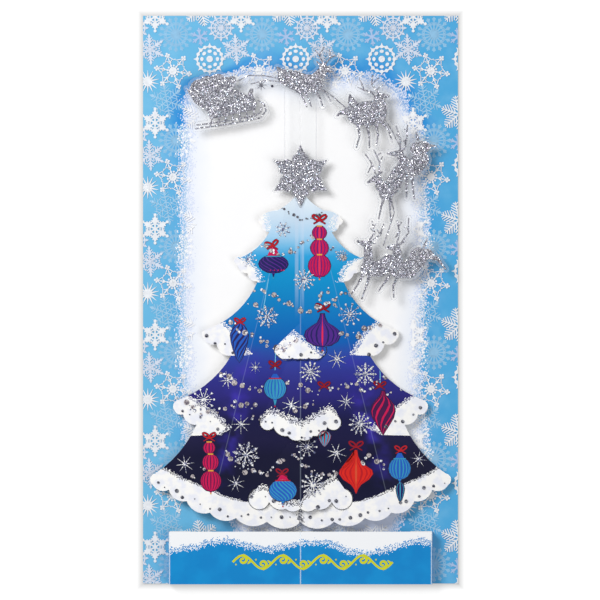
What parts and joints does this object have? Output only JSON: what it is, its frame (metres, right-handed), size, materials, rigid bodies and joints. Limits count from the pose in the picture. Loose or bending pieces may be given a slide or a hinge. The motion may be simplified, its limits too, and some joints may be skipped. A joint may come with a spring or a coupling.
{
  "type": "pop up card",
  "caption": "Greeting card opened flat, with a raised folded paper tree, a raised message band and a clear film carrying glitter sleigh and reindeer.",
  "frame": {"origin": "middle of the card's back", "axes": "+Y up the card as it is read, +X to its right, +Z out of its printed face"},
  "size_m": [0.1164, 0.21, 0.006],
  "materials": {
    "card_print": "printed coated card",
    "tree_print": "printed coated card with foil",
    "support_paper": "plain white card",
    "band_print": "printed coated card",
    "clear_film": "clear film",
    "silver_glitter": "silver glitter"
  },
  "bodies": {
    "root": {"base_card": "card_print", "tree": "tree_print", "tree_spine": "support_paper", "left_riser": "support_paper", "right_riser": "support_paper", "message_band": "band_print", "band_spine": "support_paper", "ornament_film": "clear_film", "star_glitter": "silver_glitter", "sleigh_glitter": "silver_glitter", "reindeer_glitter": "silver_glitter"}
  },
  "joints": []
}
